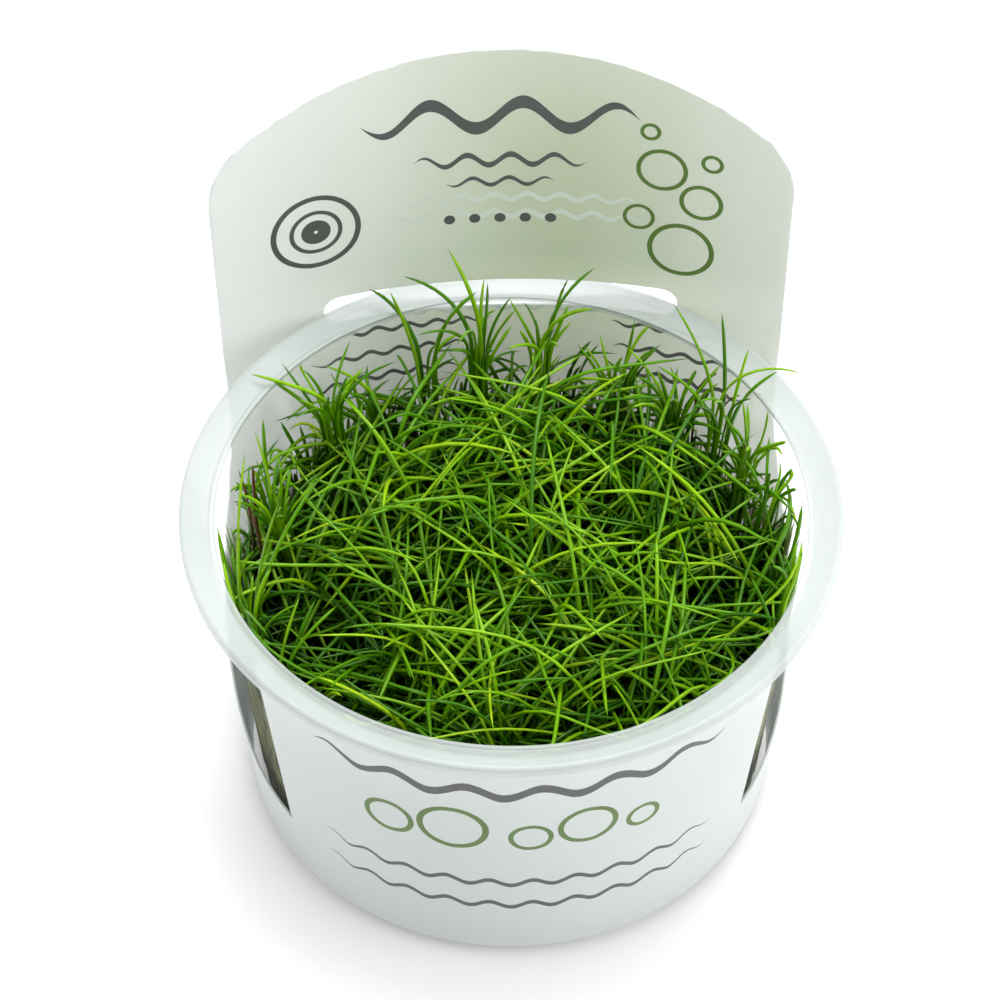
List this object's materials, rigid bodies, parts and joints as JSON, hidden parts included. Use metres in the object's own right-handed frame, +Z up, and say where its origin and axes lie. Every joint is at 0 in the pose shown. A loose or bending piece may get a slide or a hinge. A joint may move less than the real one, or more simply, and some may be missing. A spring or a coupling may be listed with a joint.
{
  "type": "dwarf hairgrass in a growing cup",
  "caption": "Dense turf of dwarf hairgrass standing in a clear flanged plastic cup, with a wrapped sheet sleeve whose back rises as an arched card.",
  "frame": {"origin": "centre of the cup's foot, on the surface it stands on", "axes": "+Z up; the cup's front faces -Y and the arched back card stands at +Y"},
  "size_m": [0.1, 0.1, 0.105],
  "materials": {
    "clear_plastic": "clear, slightly milky moulded plastic",
    "label_sheet": "satin, slightly translucent printed sheet",
    "hairgrass": "living grass, satin green blades"
  },
  "bodies": {
    "root": {"cup": "clear_plastic", "label_sleeve": "label_sheet", "tuft_01": "hairgrass", "tuft_02": "hairgrass", "tuft_03": "hairgrass", "tuft_04": "hairgrass", "tuft_05": "hairgrass", "tuft_06": "hairgrass", "tuft_07": "hairgrass", "tuft_08": "hairgrass", "tuft_09": "hairgrass", "tuft_10": "hairgrass", "tuft_11": "hairgrass", "tuft_12": "hairgrass", "tuft_13": "hairgrass", "tuft_14": "hairgrass", "tuft_15": "hairgrass", "tuft_16": "hairgrass", "tuft_17": "hairgrass", "tuft_18": "hairgrass", "tuft_19": "hairgrass"}
  },
  "joints": []
}
